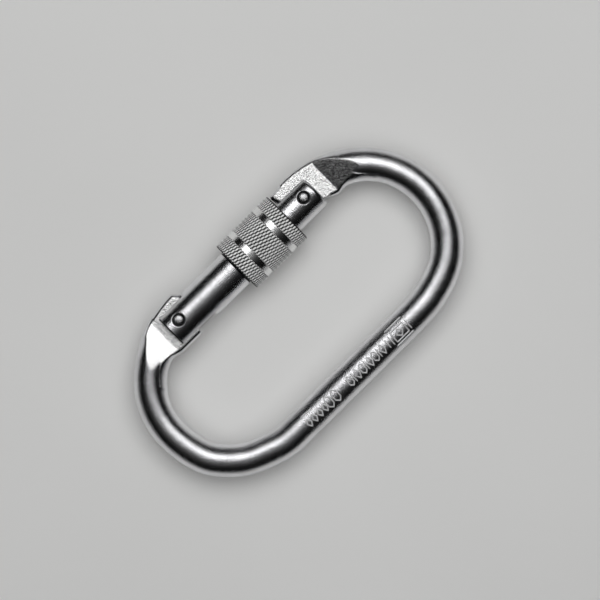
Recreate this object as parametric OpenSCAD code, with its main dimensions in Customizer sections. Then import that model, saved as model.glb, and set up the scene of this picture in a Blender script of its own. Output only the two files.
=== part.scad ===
// Oval screw-gate carabiner in forged steel bar: a bent frame with a flattened
// hinge end and nose end, a sprung gate barrel on a rivet, and a knurled
// sleeve that screws along the barrel and over the nose to lock the gate.
//
// X runs along the carabiner, from the hinge bow to the nose bow. Y runs across
// it, from the spine to the gate. Z is the thickness. The origin is the centre
// of the bounding box. Rest is gate closed and sleeve screwed back, unlocked.

/* [Frame] */
// Length over both bows
frame_len = 108; // [104:0.5:112]
// Width from the outside of the spine to the outside of the sleeve
overall_w = 57.6; // [57.2:0.1:58]
// Diameter of the round bar
bar_d = 9.2; // [8.8:0.1:9.6]
// Outer radius of both bows
bow_outer_r = 28.12; // [27.8:0.02:28.4]
// Thickness of the forged hinge and nose plates
plate_t = 5.5; // [5.3:0.1:5.6]
// Rise of the forged ramps from plate to bar, in mm per mm
ramp_slope = 0.21; // [0.18:0.01:0.26]

/* [Gate] */
// Diameter of the gate barrel between the hinge and the sleeve
barrel_d = 11.6; // [11.4:0.1:11.8]
// Diameter of the gate barrel at the nose
nose_barrel_d = 10.8; // [10.6:0.1:10.9]
// Width of the slots that straddle the forged plates
slot_w = 6; // [5.9:0.05:6.2]
// Diameter of the hinge and latch pins
pin_d = 3; // [2.8:0.1:3.2]
// Radial clearance of the hinge pin in the frame
pin_clearance = 0.06; // [0.02:0.01:0.1]

/* [Sleeve] */
// Diameter of the sleeve over the knurling
sleeve_d = 16.6; // [16.4:0.1:16.8]
// Length of the sleeve
sleeve_len = 20; // [19.5:0.1:20]
// Pitch of the sleeve's right-hand thread
thread_pitch = 1.25; // [1:0.05:1.5]
// Turns from unlocked to locked
lock_turns = 3; // [2:0.5:3]

/* [Hidden] */
$fn = 96;
eps = 0.01;
steel = [0.78, 0.79, 0.81];
dark_steel = [0.55, 0.56, 0.58];
spring_steel = [0.62, 0.6, 0.56];

// Bows and spine
bar_r = bar_d / 2;
bow_r = bow_outer_r - bar_r;
bow_x = frame_len / 2 - bow_outer_r;
bow_y = bow_outer_r - overall_w / 2;
gate_y = overall_w / 2 - sleeve_d / 2;
// The round bar stops inside the forged plates at this angle past vertical
bar_end = 14;

// Hinge plate
hinge_x = -bow_x + 0.63;
hinge_y = gate_y + 0.75;
hinge_flat_x = hinge_x - 6.15;
hinge_edge_r = 41.5;
hinge_edge_c = [hinge_x + 4.35, -13.38];
hinge_inner_y = gate_y - 6.4;
// The cam that pushes the plunger back, measured from the hinge pin
cam_face = 3.6;
cam_centre_y = -2.4;
cam_inner_x = 2;
finger_tip_x = 4.8;
finger_wall_y = 2.3;

// Nose plate
nose_flat_x = bow_x + 6.12;
nose_edge_r = 31.3;
nose_edge_c = [bow_x - 3.04, -2.62];
latch_x = bow_x - 2.33;
latch_y = gate_y + 0.5;
seat_r = pin_d / 2 + 0.1;
finger_gap = 0.28;
// The sleeve rides over the nose finger up to this radius about the gate axis
finger_r = 7.55;

// Gate barrel
barrel_r = barrel_d / 2;
nose_r = nose_barrel_d / 2;
barrel_x0 = hinge_x - 3.95;
barrel_x1 = bow_x + 1.72;
bore_r = 2.7;
bore_end = hinge_x + 29.5;
hinge_slot_inner = hinge_x + 8.75;
hinge_slot_outer = hinge_x + 5.25;

// Sleeve, at rest against the barrel's shoulder
sleeve_r = sleeve_d / 2;
sleeve_x0 = hinge_x + 21.8;
sleeve_x1 = sleeve_x0 + sleeve_len;
shoulder_x = sleeve_x0 - 0.1;
lock_travel = lock_turns * thread_pitch;
finger_x = sleeve_x1 + finger_gap;
// The nose slot is cut from the finger's side and leaves a wall on the other side
nose_slot_x = sleeve_x1 - 0.55;
nose_slot_wall = 1.3;
finger_lock_x = finger_x + lock_travel + 0.2;
groove_r = sleeve_r - 0.25;
cover_r = finger_r + 0.1;
cover_depth = lock_travel - finger_gap + 0.35;

// Threads: a ridge of trapezoid section on each part, half a pitch apart
thread_len = 5.5;
barrel_root_r = 5.25;
barrel_crest_r = 5.72;
sleeve_crest_r = 5.5;
sleeve_root_r = 5.86;
relief_w = 0.55;
barrel_thread_x0 = shoulder_x + relief_w;
barrel_thread_len = thread_len + lock_travel;
plain_bore_r = 5.95;
// Where the barrel's ridge starts and both ridges end, clear of the thread's ends
thread_lead = 0.45;
// Angle at which the barrel's ridge starts, in degrees
thread_start = 7.5;
// Width of a ridge at its foot and at its tip
thread_foot = 0.8;
thread_tip = 0.25;
// How far each ridge is sunk into its own part
thread_sink = 0.08;

// Split ring in the sleeve that grips the barrel
ring_wire_r = 0.4;
ring_r = nose_r + ring_wire_r + 0.03;
ring_x = sleeve_x0 + 11;
ring_gap = 28;

// Plunger and spring, measured from the hinge pin along the gate axis
plunger_r = bore_r - 0.08;
plunger_x0 = hinge_x + cam_face + 0.05;
plunger_head = 5;
plunger_tail_r = 1.45;
plunger_tail = 5;
spring_wire_r = 0.4;
spring_r = bore_r - spring_wire_r - 0.15;
spring_x0 = plunger_x0 + plunger_head + spring_wire_r + 0.02;
spring_x1 = bore_end - spring_wire_r - 0.02;
spring_coils = 11;

// Points on an arc about c, from angle a0 to a1
function arc_points(c, r, a0, a1, n) =
    [for (i = [0:n]) let (a = a0 + (a1 - a0) * i / n) c + r * [cos(a), sin(a)]];

// Angle, above the X axis, of the point on a circle that lies at x
function angle_at(c, r, x) = acos((x - c[0]) / r);

// A cylinder along X from x0, on the gate axis
module along_gate(x0, len, r) {
    translate([x0, gate_y, 0])
        rotate([0, 90, 0]) rotate([0, 0, 45]) cylinder(h = len, r = r);
}

// A right-hand helical ridge along X about the gate axis. Its section is a
// trapezoid, foot wide at radius r_foot and tip wide at radius r_tip.
module thread_ridge(x0, len, r_foot, r_tip, phase) {
    steps = 24;
    turns = len / thread_pitch;
    rings = floor(turns * steps);
    foot = thread_foot / 2;
    tip = thread_tip / 2;
    section = [[-foot, r_foot], [-tip, r_tip], [tip, r_tip], [foot, r_foot]];
    points = [
        for (i = [0:rings])
        let (a = 360 * i / steps + phase, x = x0 + thread_pitch * i / steps)
        for (s = section) [x + s[0], gate_y + s[1] * cos(a), s[1] * sin(a)]
    ];
    sides = [
        for (i = [0:rings - 1]) for (j = [0:3])
        let (a = 4 * i + j, b = 4 * i + (j + 1) % 4)
        each [[a, b, b + 4], [a, b + 4, a + 4]]
    ];
    flip = r_tip > r_foot;
    first = [[3, 2, 1], [3, 1, 0]];
    last = [for (f = first) [for (k = [2:-1:0]) f[k] + 4 * rings]];
    faces = concat(sides, first, last);
    polyhedron(points, flip ? faces : [for (f = faces) [f[2], f[1], f[0]]]);
}

// One bow: the bar bent round a half circle, stopping short of its top
module nose_bow() {
    translate([bow_x, bow_y, 0])
        rotate([0, 0, -90])
            rotate_extrude(angle = 180 - bar_end)
                translate([bow_r, 0]) circle(r = bar_r);
}

// The space that forging clears above a plate and its ramp, on both faces. The
// plate ends and the ramp begins at flat_x, and the ramp rises along +X.
module forged_clear(flat_x) {
    far = 12;
    reach = 20;
    for (face = [-1, 1])
        translate([flat_x, gate_y, 0]) rotate([90, 0, 0])
            linear_extrude(height = 30, center = true)
                polygon([
                    [-reach, face * plate_t / 2],
                    [0, face * plate_t / 2],
                    [far, face * (plate_t / 2 + far * ramp_slope)],
                    [far, face * far],
                    [-reach, face * far]
                ]);
}

// Outline of the hinge plate, with the cam in its end
module hinge_outline() {
    pin = [hinge_x, hinge_y];
    tip_r = 1.9;
    edge_start = angle_at(hinge_edge_c, hinge_edge_r, hinge_x - 11);
    edge_end = angle_at(hinge_edge_c, hinge_edge_r, hinge_x + finger_tip_x - tip_r);
    tip_y = hinge_edge_c[1] + hinge_edge_r;
    polygon(concat(
        [[hinge_x - 11.8, gate_y + 1]],
        arc_points(hinge_edge_c, hinge_edge_r, edge_start, edge_end, 12),
        [
            [hinge_x + finger_tip_x, tip_y - tip_r],
            pin + [finger_tip_x, finger_wall_y],
            pin + [cam_face, finger_wall_y]
        ],
        arc_points(pin + [0, cam_centre_y], cam_face, 0, -56.2, 12),
        [
            [hinge_x + cam_inner_x, hinge_inner_y],
            [hinge_flat_x + 0.9, hinge_inner_y],
            [hinge_flat_x - 1.3, hinge_inner_y + 0.6],
            [hinge_flat_x - 4.2, hinge_inner_y + 0.5],
            [hinge_flat_x - 5.2, gate_y - 5]
        ]
    ));
}

// Outline of the nose plate, with its finger and the notch for the latch pin
module nose_outline() {
    edge_start = angle_at(nose_edge_c, nose_edge_r, bow_x + 12);
    edge_end = angle_at(nose_edge_c, nose_edge_r, finger_lock_x + 1.2);
    // set back from the finger, because the sleeve's edge swings past
    lip_x = finger_x + 0.5;
    lip_y = latch_y - 1.8;
    seat = [latch_x, latch_y];
    polygon(concat(
        [[bow_x + 11.5, gate_y - 1]],
        arc_points(nose_edge_c, nose_edge_r, edge_start, edge_end, 14),
        [
            [finger_x + 1.4, gate_y + 7.9],
            [finger_x + 0.5, gate_y + 7.2],
            [finger_x, gate_y + 6.6],
            [lip_x, gate_y + 5.1],
            [lip_x, lip_y + 0.5],
            [lip_x + 0.5, lip_y],
            [latch_x - seat_r, lip_y]
        ],
        arc_points(seat, seat_r, 180, 0, 16),
        [
            [latch_x + seat_r, lip_y - 1.2],
            [barrel_x1 + 0.4, gate_y - 4],
            [barrel_x1 + 1.7, gate_y - 4.6],
            [barrel_x1 + 2.9, gate_y - 5.3],
            [nose_flat_x, gate_y - 5.6],
            [nose_flat_x + 1.8, gate_y - 5.35],
            [nose_flat_x + 3.6, gate_y - 5.7],
            [nose_flat_x + 5, gate_y - 6.4]
        ]
    ));
}

// Turns the nose finger down, about the gate axis, where the sleeve covers it
module finger_turning() {
    out = finger_r + 3;
    translate([0, gate_y, 0]) rotate([0, 90, 0]) rotate_extrude() polygon([
        [finger_r, finger_x - 2],
        [out, finger_x - 2],
        [out, finger_lock_x + 4],
        [finger_r, finger_lock_x]
    ]);
}

// The bent bar with both forged ends, in one piece
module frame() {
    color(steel) difference() {
        union() {
            difference() {
                nose_bow();
                forged_clear(nose_flat_x);
            }
            mirror([1, 0, 0]) difference() {
                nose_bow();
                forged_clear(-hinge_flat_x);
            }
            translate([-bow_x, bow_y - bow_r, 0])
                rotate([0, 90, 0]) cylinder(h = 2 * bow_x, r = bar_r);
            linear_extrude(height = plate_t, center = true) hinge_outline();
            difference() {
                linear_extrude(height = plate_t, center = true) nose_outline();
                finger_turning();
            }
        }
        translate([hinge_x, hinge_y, -bar_d])
            cylinder(h = 2 * bar_d, r = pin_d / 2 + pin_clearance);
    }
}

// A turned blank about the gate axis, from a profile of [radius, x] points
module turned(profile) {
    translate([0, gate_y, 0])
        rotate([0, 90, 0]) rotate([0, 0, 45]) rotate_extrude() polygon(profile);
}

// The slot that lets the gate swing over the hinge plate, its end slanted
module hinge_slot() {
    out = barrel_r + 1;
    linear_extrude(height = slot_w, center = true) polygon([
        [barrel_x0 - 1, gate_y - out],
        [hinge_slot_inner, gate_y - out],
        [hinge_slot_inner, gate_y - barrel_r],
        [hinge_slot_outer, gate_y + barrel_r],
        [hinge_slot_outer, gate_y + out],
        [barrel_x0 - 1, gate_y + out]
    ]);
}

// Hole, with a shallow counterbore at both ends, for a riveted pin at [x, y]
module rivet_hole(x, y, surface_r) {
    hole_r = pin_d / 2 - eps;
    sink_r = pin_d / 2 + 0.35;
    sink_z = surface_r - 0.75;
    out = surface_r + 2;
    translate([x, y, 0]) rotate_extrude() polygon([
        [0, -out], [sink_r, -out], [sink_r, -sink_z], [hole_r, -sink_z],
        [hole_r, sink_z], [sink_r, sink_z], [sink_r, out], [0, out]
    ]);
}

// The gate itself: turned, threaded, bored for the spring and slotted at both ends
module gate_barrel() {
    edge = 0.5;
    thread_x1 = barrel_thread_x0 + barrel_thread_len;
    color(steel) difference() {
        union() {
            turned([
                [0, barrel_x0],
                [barrel_r - edge, barrel_x0],
                [barrel_r, barrel_x0 + edge],
                [barrel_r, shoulder_x],
                [barrel_root_r, shoulder_x],
                [barrel_root_r, thread_x1],
                [nose_r, thread_x1],
                [nose_r, barrel_x1 - 1.2],
                [nose_r - 0.35, barrel_x1 - 0.4],
                [nose_r - 1.1, barrel_x1],
                [0, barrel_x1]
            ]);
            thread_ridge(
                barrel_thread_x0 + thread_lead, barrel_thread_len - 2 * thread_lead,
                barrel_root_r - thread_sink, barrel_crest_r, thread_start);
        }
        along_gate(barrel_x0 - 1, bore_end - barrel_x0 + 1, bore_r);
        hinge_slot();
        translate([nose_slot_x, gate_y - nose_r + nose_slot_wall, -slot_w / 2])
            cube([barrel_x1, 2 * barrel_d, slot_w]);
        rivet_hole(hinge_x, hinge_y, barrel_r);
        rivet_hole(latch_x, latch_y, nose_r);
    }
}

// A riveted pin through both cheeks of the barrel, with low domed heads
module riveted_pin(x, y, surface_r) {
    dome_r = 2.4;
    head_z = surface_r - 0.5;
    dome_z = head_z - sqrt(dome_r * dome_r - pin_d * pin_d / 4);
    color(dark_steel) translate([x, y, 0]) {
        cylinder(h = 2 * head_z, d = pin_d, center = true);
        for (face = [0, 180])
            rotate([face, 0, 0]) intersection() {
                translate([0, 0, dome_z]) sphere(r = dome_r);
                translate([0, 0, head_z - 1]) cylinder(h = 4, d = pin_d);
            }
    }
}

// The rivet that the gate turns on
module hinge_pin() {
    riveted_pin(hinge_x, hinge_y, barrel_r);
}

// The pin that drops into the nose's notch and carries the load
module latch_pin() {
    riveted_pin(latch_x, latch_y, nose_r);
}

// Stepped plunger that the spring presses against the hinge plate's cam
module plunger() {
    color(dark_steel) union() {
        along_gate(plunger_x0, plunger_head, plunger_r);
        along_gate(plunger_x0 + plunger_head - eps, plunger_tail, plunger_tail_r);
    }
}

// Helical wire spring between the plunger's shoulder and the end of the bore
module return_spring() {
    steps = 14;
    sides = 6;
    rings = spring_coils * steps;
    points = [
        for (i = [0:rings])
        let (a = 360 * i / steps, x = spring_x0 + (spring_x1 - spring_x0) * i / rings)
        for (j = [0:sides - 1])
        let (b = 360 * j / sides, r = spring_r + spring_wire_r * cos(b))
        [x + spring_wire_r * sin(b), gate_y + r * cos(a), r * sin(a)]
    ];
    walls = [
        for (i = [0:rings - 1]) for (j = [0:sides - 1])
        let (a = sides * i + j, b = sides * i + (j + 1) % sides)
        each [[b, a, b + sides], [b + sides, a, a + sides]]
    ];
    first = [for (j = [0:sides - 1]) j];
    last = [for (j = [sides - 1:-1:0]) sides * rings + j];
    color(spring_steel) polyhedron(points, concat(walls, [first, last]));
}

// Split wire ring, held in the sleeve's inner groove, that grips the barrel
module friction_ring() {
    color(spring_steel) translate([ring_x, gate_y, 0])
        rotate([0, 90, 0]) rotate([0, 0, ring_gap / 2])
            rotate_extrude(angle = 360 - ring_gap)
                translate([ring_r, 0]) circle(r = ring_wire_r);
}

// Half section of the sleeve: X along the gate, Y out from its axis
module sleeve_section() {
    chamfer = 0.5;
    band_a = [4.5, 6.45];
    band_b = [14.05, 16.05];
    ring_half = ring_wire_r + 0.05;
    difference() {
        polygon([
            [0, barrel_root_r],
            [0, sleeve_r - chamfer],
            [chamfer, sleeve_r],
            [sleeve_len - chamfer, sleeve_r],
            [sleeve_len, sleeve_r - chamfer],
            [sleeve_len, barrel_root_r]
        ]);
        for (band = [band_a, band_b])
            translate([band[0], groove_r]) square([band[1] - band[0], 1]);
        translate([-1, 0]) square([thread_len + 1, sleeve_root_r]);
        translate([thread_len - eps, 0]) square([sleeve_len, plain_bore_r]);
        translate([ring_x - sleeve_x0 - ring_half, 0])
            square([2 * ring_half, ring_r + ring_wire_r + 0.05]);
        translate([sleeve_len - cover_depth, 0]) square([cover_depth + 1, cover_r]);
    }
}

// The knurled locking sleeve, with its internal thread at the hinge end
module locking_sleeve() {
    ridge_x0 = barrel_thread_x0 + thread_lead;
    ridge_x1 = sleeve_x0 + thread_len - thread_lead;
    color(steel) union() {
        translate([sleeve_x0, gate_y, 0])
            rotate([0, 90, 0]) rotate_extrude() mirror([1, -1, 0]) sleeve_section();
        thread_ridge(
            ridge_x0, ridge_x1 - ridge_x0,
            sleeve_root_r + thread_sink, sleeve_crest_r, thread_start + 180);
    }
}

frame();
gate_barrel();
hinge_pin();
latch_pin();
plunger();
return_spring();
friction_ring();
locking_sleeve();
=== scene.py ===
"""Looks of an oval screw-gate carabiner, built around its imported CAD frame.

Forged and turned pieces are implicit solids: a signed function of a point, meshed on
a grid and pulled onto its exact surface, with normals from the function itself. Shapes
are in millimetres; the stage, the noise scales and the bump distances are in metres.
"""
import math

import bpy
import numpy as np
from mathutils import Matrix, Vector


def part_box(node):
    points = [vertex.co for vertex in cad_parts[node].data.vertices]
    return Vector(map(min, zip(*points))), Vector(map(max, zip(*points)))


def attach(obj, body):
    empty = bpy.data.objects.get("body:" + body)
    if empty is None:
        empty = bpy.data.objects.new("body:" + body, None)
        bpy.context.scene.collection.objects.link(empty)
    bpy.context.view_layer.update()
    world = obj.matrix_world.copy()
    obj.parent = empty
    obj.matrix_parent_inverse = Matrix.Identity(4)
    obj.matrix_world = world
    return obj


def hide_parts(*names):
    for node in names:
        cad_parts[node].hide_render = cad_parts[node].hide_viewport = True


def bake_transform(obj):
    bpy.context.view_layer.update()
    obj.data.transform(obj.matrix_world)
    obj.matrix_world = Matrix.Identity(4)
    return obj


MM = 0.001

# ---------------------------------------------------------------- frame of reference
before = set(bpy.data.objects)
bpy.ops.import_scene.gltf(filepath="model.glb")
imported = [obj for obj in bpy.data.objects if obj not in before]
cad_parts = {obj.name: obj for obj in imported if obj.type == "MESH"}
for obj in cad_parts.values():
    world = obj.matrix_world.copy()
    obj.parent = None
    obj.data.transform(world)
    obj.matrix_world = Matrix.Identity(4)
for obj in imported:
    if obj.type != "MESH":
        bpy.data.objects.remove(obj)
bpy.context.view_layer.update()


def cad_box(node):
    """Lowest and highest corners of a CAD node, in millimetres."""
    low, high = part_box(node)
    return np.array(low) / MM, np.array(high) / MM


frame_low, frame_high = cad_box("frame")
barrel_low, barrel_high = cad_box("gate_barrel")
sleeve_low, sleeve_high = cad_box("locking_sleeve")
hinge_low, hinge_high = cad_box("hinge_pin")
latch_low, latch_high = cad_box("latch_pin")
plunger_low, plunger_high = cad_box("plunger")
spring_low, spring_high = cad_box("return_spring")
ring_low, ring_high = cad_box("friction_ring")

# Frame: round bar in two half-circle bows, with forged ends
BAR_R = frame_high[2]
BOW_OUTER_R = 28.12
BOW_R = BOW_OUTER_R - BAR_R
BOW_X = frame_high[0] - BOW_OUTER_R
BOW_Y = frame_low[1] + BOW_OUTER_R
PLATE_HALF = 2.75
RAMP_SLOPE = 0.21

# Gate
GATE_Y = (sleeve_low[1] + sleeve_high[1]) / 2
GATE_X0, GATE_X1 = barrel_low[0], barrel_high[0]
BARREL_R = barrel_high[2]
NOSE_R = 5.4
HINGE = (hinge_low + hinge_high) / 2
LATCH = (latch_low + latch_high) / 2
PIN_R = (hinge_high[0] - hinge_low[0]) / 2
SLOT_HALF = 3.0
NOSE_WALL = 1.3
BORE_R = 2.7
BORE_END = HINGE[0] + 29.5
HINGE_FLAT_X = HINGE[0] - 6.15
NOSE_FLAT_X = BOW_X + 6.12

# Sleeve and thread
SLEEVE_X0, SLEEVE_X1 = sleeve_low[0], sleeve_high[0]
SLEEVE_R = sleeve_high[2]
SLEEVE_LEN = SLEEVE_X1 - SLEEVE_X0
PITCH = 1.25
SHOULDER_X = SLEEVE_X0 - 0.1
THREAD_X0 = SHOULDER_X + 0.55
THREAD_X1 = THREAD_X0 + 9.25
THREAD_ROOT_R = 5.25
THREAD_CREST_R = 5.72
FINGER_X = SLEEVE_X1 + 0.28
LIP_X = FINGER_X + 0.5
FINGER_R = 7.55
FINGER_LOCK_X = FINGER_X + 3.95


# ---------------------------------------------------------------- implicit shapes
NO_CUT = -9.0  # a value far enough inside that it leaves a solid alone
FAR = 9.0      # a value far enough outside that it adds nothing to a solid
POINTS_AT_ONCE = 400000
SLOPE_SPAN = 0.04  # of a grid step, for the differences that give a slope
LONGEST_MOVE = 0.7  # of a grid step


def smooth_max(a, b, k):
    """The larger of a and b, with the crease between them rounded over about k."""
    h = np.maximum(k - np.abs(a - b), 0) / k
    return np.maximum(a, b) + h * h * k / 4


def smooth_min(a, b, k):
    """The smaller of a and b, rounded over in the same way."""
    return -smooth_max(-a, -b, k)


def smooth_step(x, x0, x1):
    """0 at x0, 1 at x1, smooth between, in either direction."""
    t = np.clip((x - x0) / (x1 - x0), 0, 1)
    return t * t * (3 - 2 * t)


def arc(centre, radius, a0, a1, count):
    """Points on an arc, angles in degrees."""
    a = np.radians(np.linspace(a0, a1, count + 1))
    return [(centre[0] + radius * math.cos(t), centre[1] + radius * math.sin(t)) for t in a]


def angle_at(centre, radius, x):
    """Angle, in degrees, at which the upper half of a circle reaches x."""
    return math.degrees(math.acos((x - centre[0]) / radius))


def outline_distance(points, x, y):
    """Signed distance from a closed outline, below zero inside it."""
    px = np.array([p[0] for p in points])
    py = np.array([p[1] for p in points])
    best = np.full(x.shape, 1e9)
    inside = np.zeros(x.shape, bool)
    for ax, ay, bx, by in zip(px, py, np.roll(px, -1), np.roll(py, -1)):
        ex, ey = bx - ax, by - ay
        t = np.clip(((x - ax) * ex + (y - ay) * ey) / (ex * ex + ey * ey), 0, 1)
        best = np.minimum(best, (x - ax - t * ex) ** 2 + (y - ay - t * ey) ** 2)
        if ay != by:
            crosses = (ay > y) != (by > y)
            inside ^= crosses & (x < ax + (y - ay) / ey * ex)
    distance = np.sqrt(best)
    return np.where(inside, -distance, distance)


def surface_nets(function, low, high, step, relax=1):
    """Meshes function = 0 on a grid: vertices, unit normals and quads."""
    axes = [np.arange(low[k] - 2.5 * step, high[k] + 2.5 * step, step) for k in range(3)]
    shape = tuple(len(a) for a in axes)
    values = np.empty(shape)
    gy, gz = np.meshgrid(axes[1], axes[2], indexing="ij")
    block = max(1, int(POINTS_AT_ONCE / gy.size))
    for i in range(0, shape[0], block):
        gx = axes[0][i:i + block]
        n = len(gx)
        x = np.repeat(gx, gy.size)
        values[i:i + n] = function(x, np.tile(gy.ravel(), n), np.tile(gz.ravel(), n)).reshape(
            (n,) + gy.shape)
    cells = tuple(n - 1 for n in shape)
    total = np.zeros((np.prod(cells), 3))
    count = np.zeros(np.prod(cells))
    faces = []
    for axis in range(3):
        before = [slice(None)] * 3
        after = [slice(None)] * 3
        before[axis] = slice(0, -1)
        after[axis] = slice(1, None)
        v0, v1 = values[tuple(before)], values[tuple(after)]
        index = np.argwhere((v0 < 0) != (v1 < 0))
        f0, f1 = v0[tuple(index.T)], v1[tuple(index.T)]
        place = index.astype(float)
        place[:, axis] += f0 / (f0 - f1)
        b, c = (axis + 1) % 3, (axis + 2) % 3
        corners = []
        for db, dc in ((-1, -1), (0, -1), (0, 0), (-1, 0)):
            cell = index.copy()
            cell[:, b] += db
            cell[:, c] += dc
            flat = np.ravel_multi_index(tuple(cell.T), cells)
            corners.append(flat)
            count += np.bincount(flat, minlength=len(count))
            for k in range(3):
                total[:, k] += np.bincount(flat, weights=place[:, k], minlength=len(count))
        quads = np.stack(corners, 1)
        faces.append(np.where((f0 < 0)[:, None], quads, quads[:, ::-1]))
    used = np.flatnonzero(count)
    renumber = np.full(len(count), -1)
    renumber[used] = np.arange(len(used))
    faces = renumber[np.concatenate(faces)]
    points = total[used] / count[used, None] * step + np.array([a[0] for a in axes])
    for _ in range(relax):
        points = pull(function, relaxed(points, faces), step)
    points = pull(function, points, step)
    return points, gradient(function, points, step), faces


def relaxed(points, faces):
    """Each point moved half way to the mean of its neighbours."""
    a = faces.ravel()
    b = np.roll(faces, -1, 1).ravel()
    total = np.zeros_like(points)
    count = np.bincount(a, minlength=len(points)) + np.bincount(b, minlength=len(points))
    for k in range(3):
        total[:, k] = np.bincount(a, weights=points[b, k], minlength=len(points))
        total[:, k] += np.bincount(b, weights=points[a, k], minlength=len(points))
    return 0.5 * points + 0.5 * total / count[:, None]


def slope_of(function, points, h):
    """Slope of a function at points, from values h to either side."""
    out = np.empty_like(points)
    for k in range(3):
        shift = np.zeros(3)
        shift[k] = h
        ahead, behind = points + shift, points - shift
        out[:, k] = (function(*ahead.T) - function(*behind.T)) / (2 * h)
    return out


def gradient(function, points, step):
    """Unit normals of the function's surface at points."""
    g = slope_of(function, points, SLOPE_SPAN * step)
    return g / np.maximum(np.linalg.norm(g, axis=1, keepdims=True), 1e-9)


def pull(function, points, step):
    """Moves points onto the surface along the function's slope."""
    for _ in range(2):
        g = slope_of(function, points, SLOPE_SPAN * step)
        length = np.maximum(np.sum(g * g, 1), 1e-6)
        move = -(function(*points.T) / length)[:, None] * g
        size = np.maximum(np.linalg.norm(move, axis=1, keepdims=True), 1e-9)
        points = points + move * np.minimum(1, LONGEST_MOVE * step / size)
    return points


# ---------------------------------------------------------------- meshes
def make_object(name, points, faces, normals=None):
    """A smooth mesh object from points in millimetres."""
    mesh = bpy.data.meshes.new(name)
    mesh.from_pydata((np.asarray(points) * MM).tolist(), [], [list(f) for f in faces])
    mesh.polygons.foreach_set("use_smooth", np.ones(len(mesh.polygons), bool))
    if normals is not None:
        mesh.normals_split_custom_set_from_vertices(np.asarray(normals).tolist())
    mesh.update()
    obj = bpy.data.objects.new(name, mesh)
    bpy.context.scene.collection.objects.link(obj)
    return obj


def implicit_object(name, function, low, high, step):
    """A mesh object of an implicit solid."""
    points, normals, faces = surface_nets(function, low, high, step)
    return make_object(name, points, faces.tolist(), normals)


def wrap_faces(rings, around, closed_rings=False):
    """Quads of a grid of rings, each joined round on itself."""
    faces = []
    last = rings if closed_rings else rings - 1
    for i in range(last):
        a = i * around
        b = ((i + 1) % rings) * around
        for j in range(around):
            k = (j + 1) % around
            faces.append((a + j, b + j, b + k, a + k))
    return faces


def along_x(profile, around):
    """Points of a profile of (x, radius) turned about the gate axis."""
    a = np.linspace(0, 2 * math.pi, around, endpoint=False)
    points = []
    for x, r in profile:
        points.append(np.stack([np.full(around, x), GATE_Y + r * np.cos(a), r * np.sin(a)], 1))
    return np.concatenate(points)


# ---------------------------------------------------------------- frame
def hinge_blank():
    """Outline of the forged hinge end, without the cam."""
    centre = (HINGE[0] + 4.35, -13.38)
    radius = 41.5
    tip = HINGE[0] + 4.8
    inner = GATE_Y - 6.4
    return (
        [(HINGE[0] - 14, GATE_Y - 3)]
        + arc(centre, radius, angle_at(centre, radius, HINGE[0] - 11),
              angle_at(centre, radius, tip - 1.6), 16)
        + [(tip - 0.7, centre[1] + radius - 0.7), (tip + 0.25, GATE_Y + 5.85), (tip + 0.4, GATE_Y)]
        + [(tip, inner), (HINGE_FLAT_X + 0.6, inner), (HINGE_FLAT_X - 0.9, inner + 0.32)]
        + [(HINGE_FLAT_X - 2.4, inner + 0.62), (HINGE_FLAT_X - 3.7, inner + 0.36)]
        + [(HINGE_FLAT_X - 5.2, inner - 0.24), (HINGE_FLAT_X - 7, inner - 1.32)]
        + [(HINGE_FLAT_X - 8.6, inner - 2.8), (HINGE_FLAT_X - 10.2, inner - 4.7)]
        + [(HINGE_FLAT_X - 14, GATE_Y - 10)]
    )


def hinge_pocket():
    """What is machined out of the hinge end: all that lies beyond the cam."""
    hx, hy = HINGE[0], HINGE[1]
    out = 20
    return (
        [(hx + 4.8 + 0.6, GATE_Y + 5.0), (hx + 4.8, GATE_Y + 4.4), (hx + 4.8, hy + 2.3)]
        + [(hx + 3.6, hy + 2.3)]
        + arc((hx, hy - 2.4), 3.6, 0, -56.2, 10)
        + [(hx + 2.0, hy - 30), (hx + out, hy - 30), (hx + out, GATE_Y + 5.0)]
    )


def nose_blank():
    """Outline of the forged nose end, without the notch."""
    centre = (BOW_X - 3.04, -2.62)
    radius = 31.3
    return (
        [(BOW_X + 15, GATE_Y - 4)]
        + arc(centre, radius, angle_at(centre, radius, BOW_X + 13),
              angle_at(centre, radius, FINGER_LOCK_X + 0.8), 18)
        + [(FINGER_X + 1.6, GATE_Y + 8.1), (FINGER_X + 0.75, GATE_Y + 7.8)]
        + [(FINGER_X + 0.2, GATE_Y + 7.2), (FINGER_X, GATE_Y + 6.6)]
        + [(FINGER_X + 0.24, GATE_Y + 5.1), (LIP_X, GATE_Y + 4.4), (LIP_X, GATE_Y - 9)]
        + [(GATE_X1 + 1.9, GATE_Y - 9), (GATE_X1 + 2.2, GATE_Y - 5.0)]
        + [(NOSE_FLAT_X - 1.1, GATE_Y - 5.42), (NOSE_FLAT_X, GATE_Y - 5.6)]
        + [(NOSE_FLAT_X + 1.7, GATE_Y - 5.38), (NOSE_FLAT_X + 3.2, GATE_Y - 5.64)]
        + [(NOSE_FLAT_X + 4.7, GATE_Y - 6.4), (NOSE_FLAT_X + 6.2, GATE_Y - 7.4)]
        + [(NOSE_FLAT_X + 7.6, GATE_Y - 8.55), (NOSE_FLAT_X + 9.2, GATE_Y - 10.4)]
        + [(NOSE_FLAT_X + 13, GATE_Y - 10)]
    )


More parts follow.
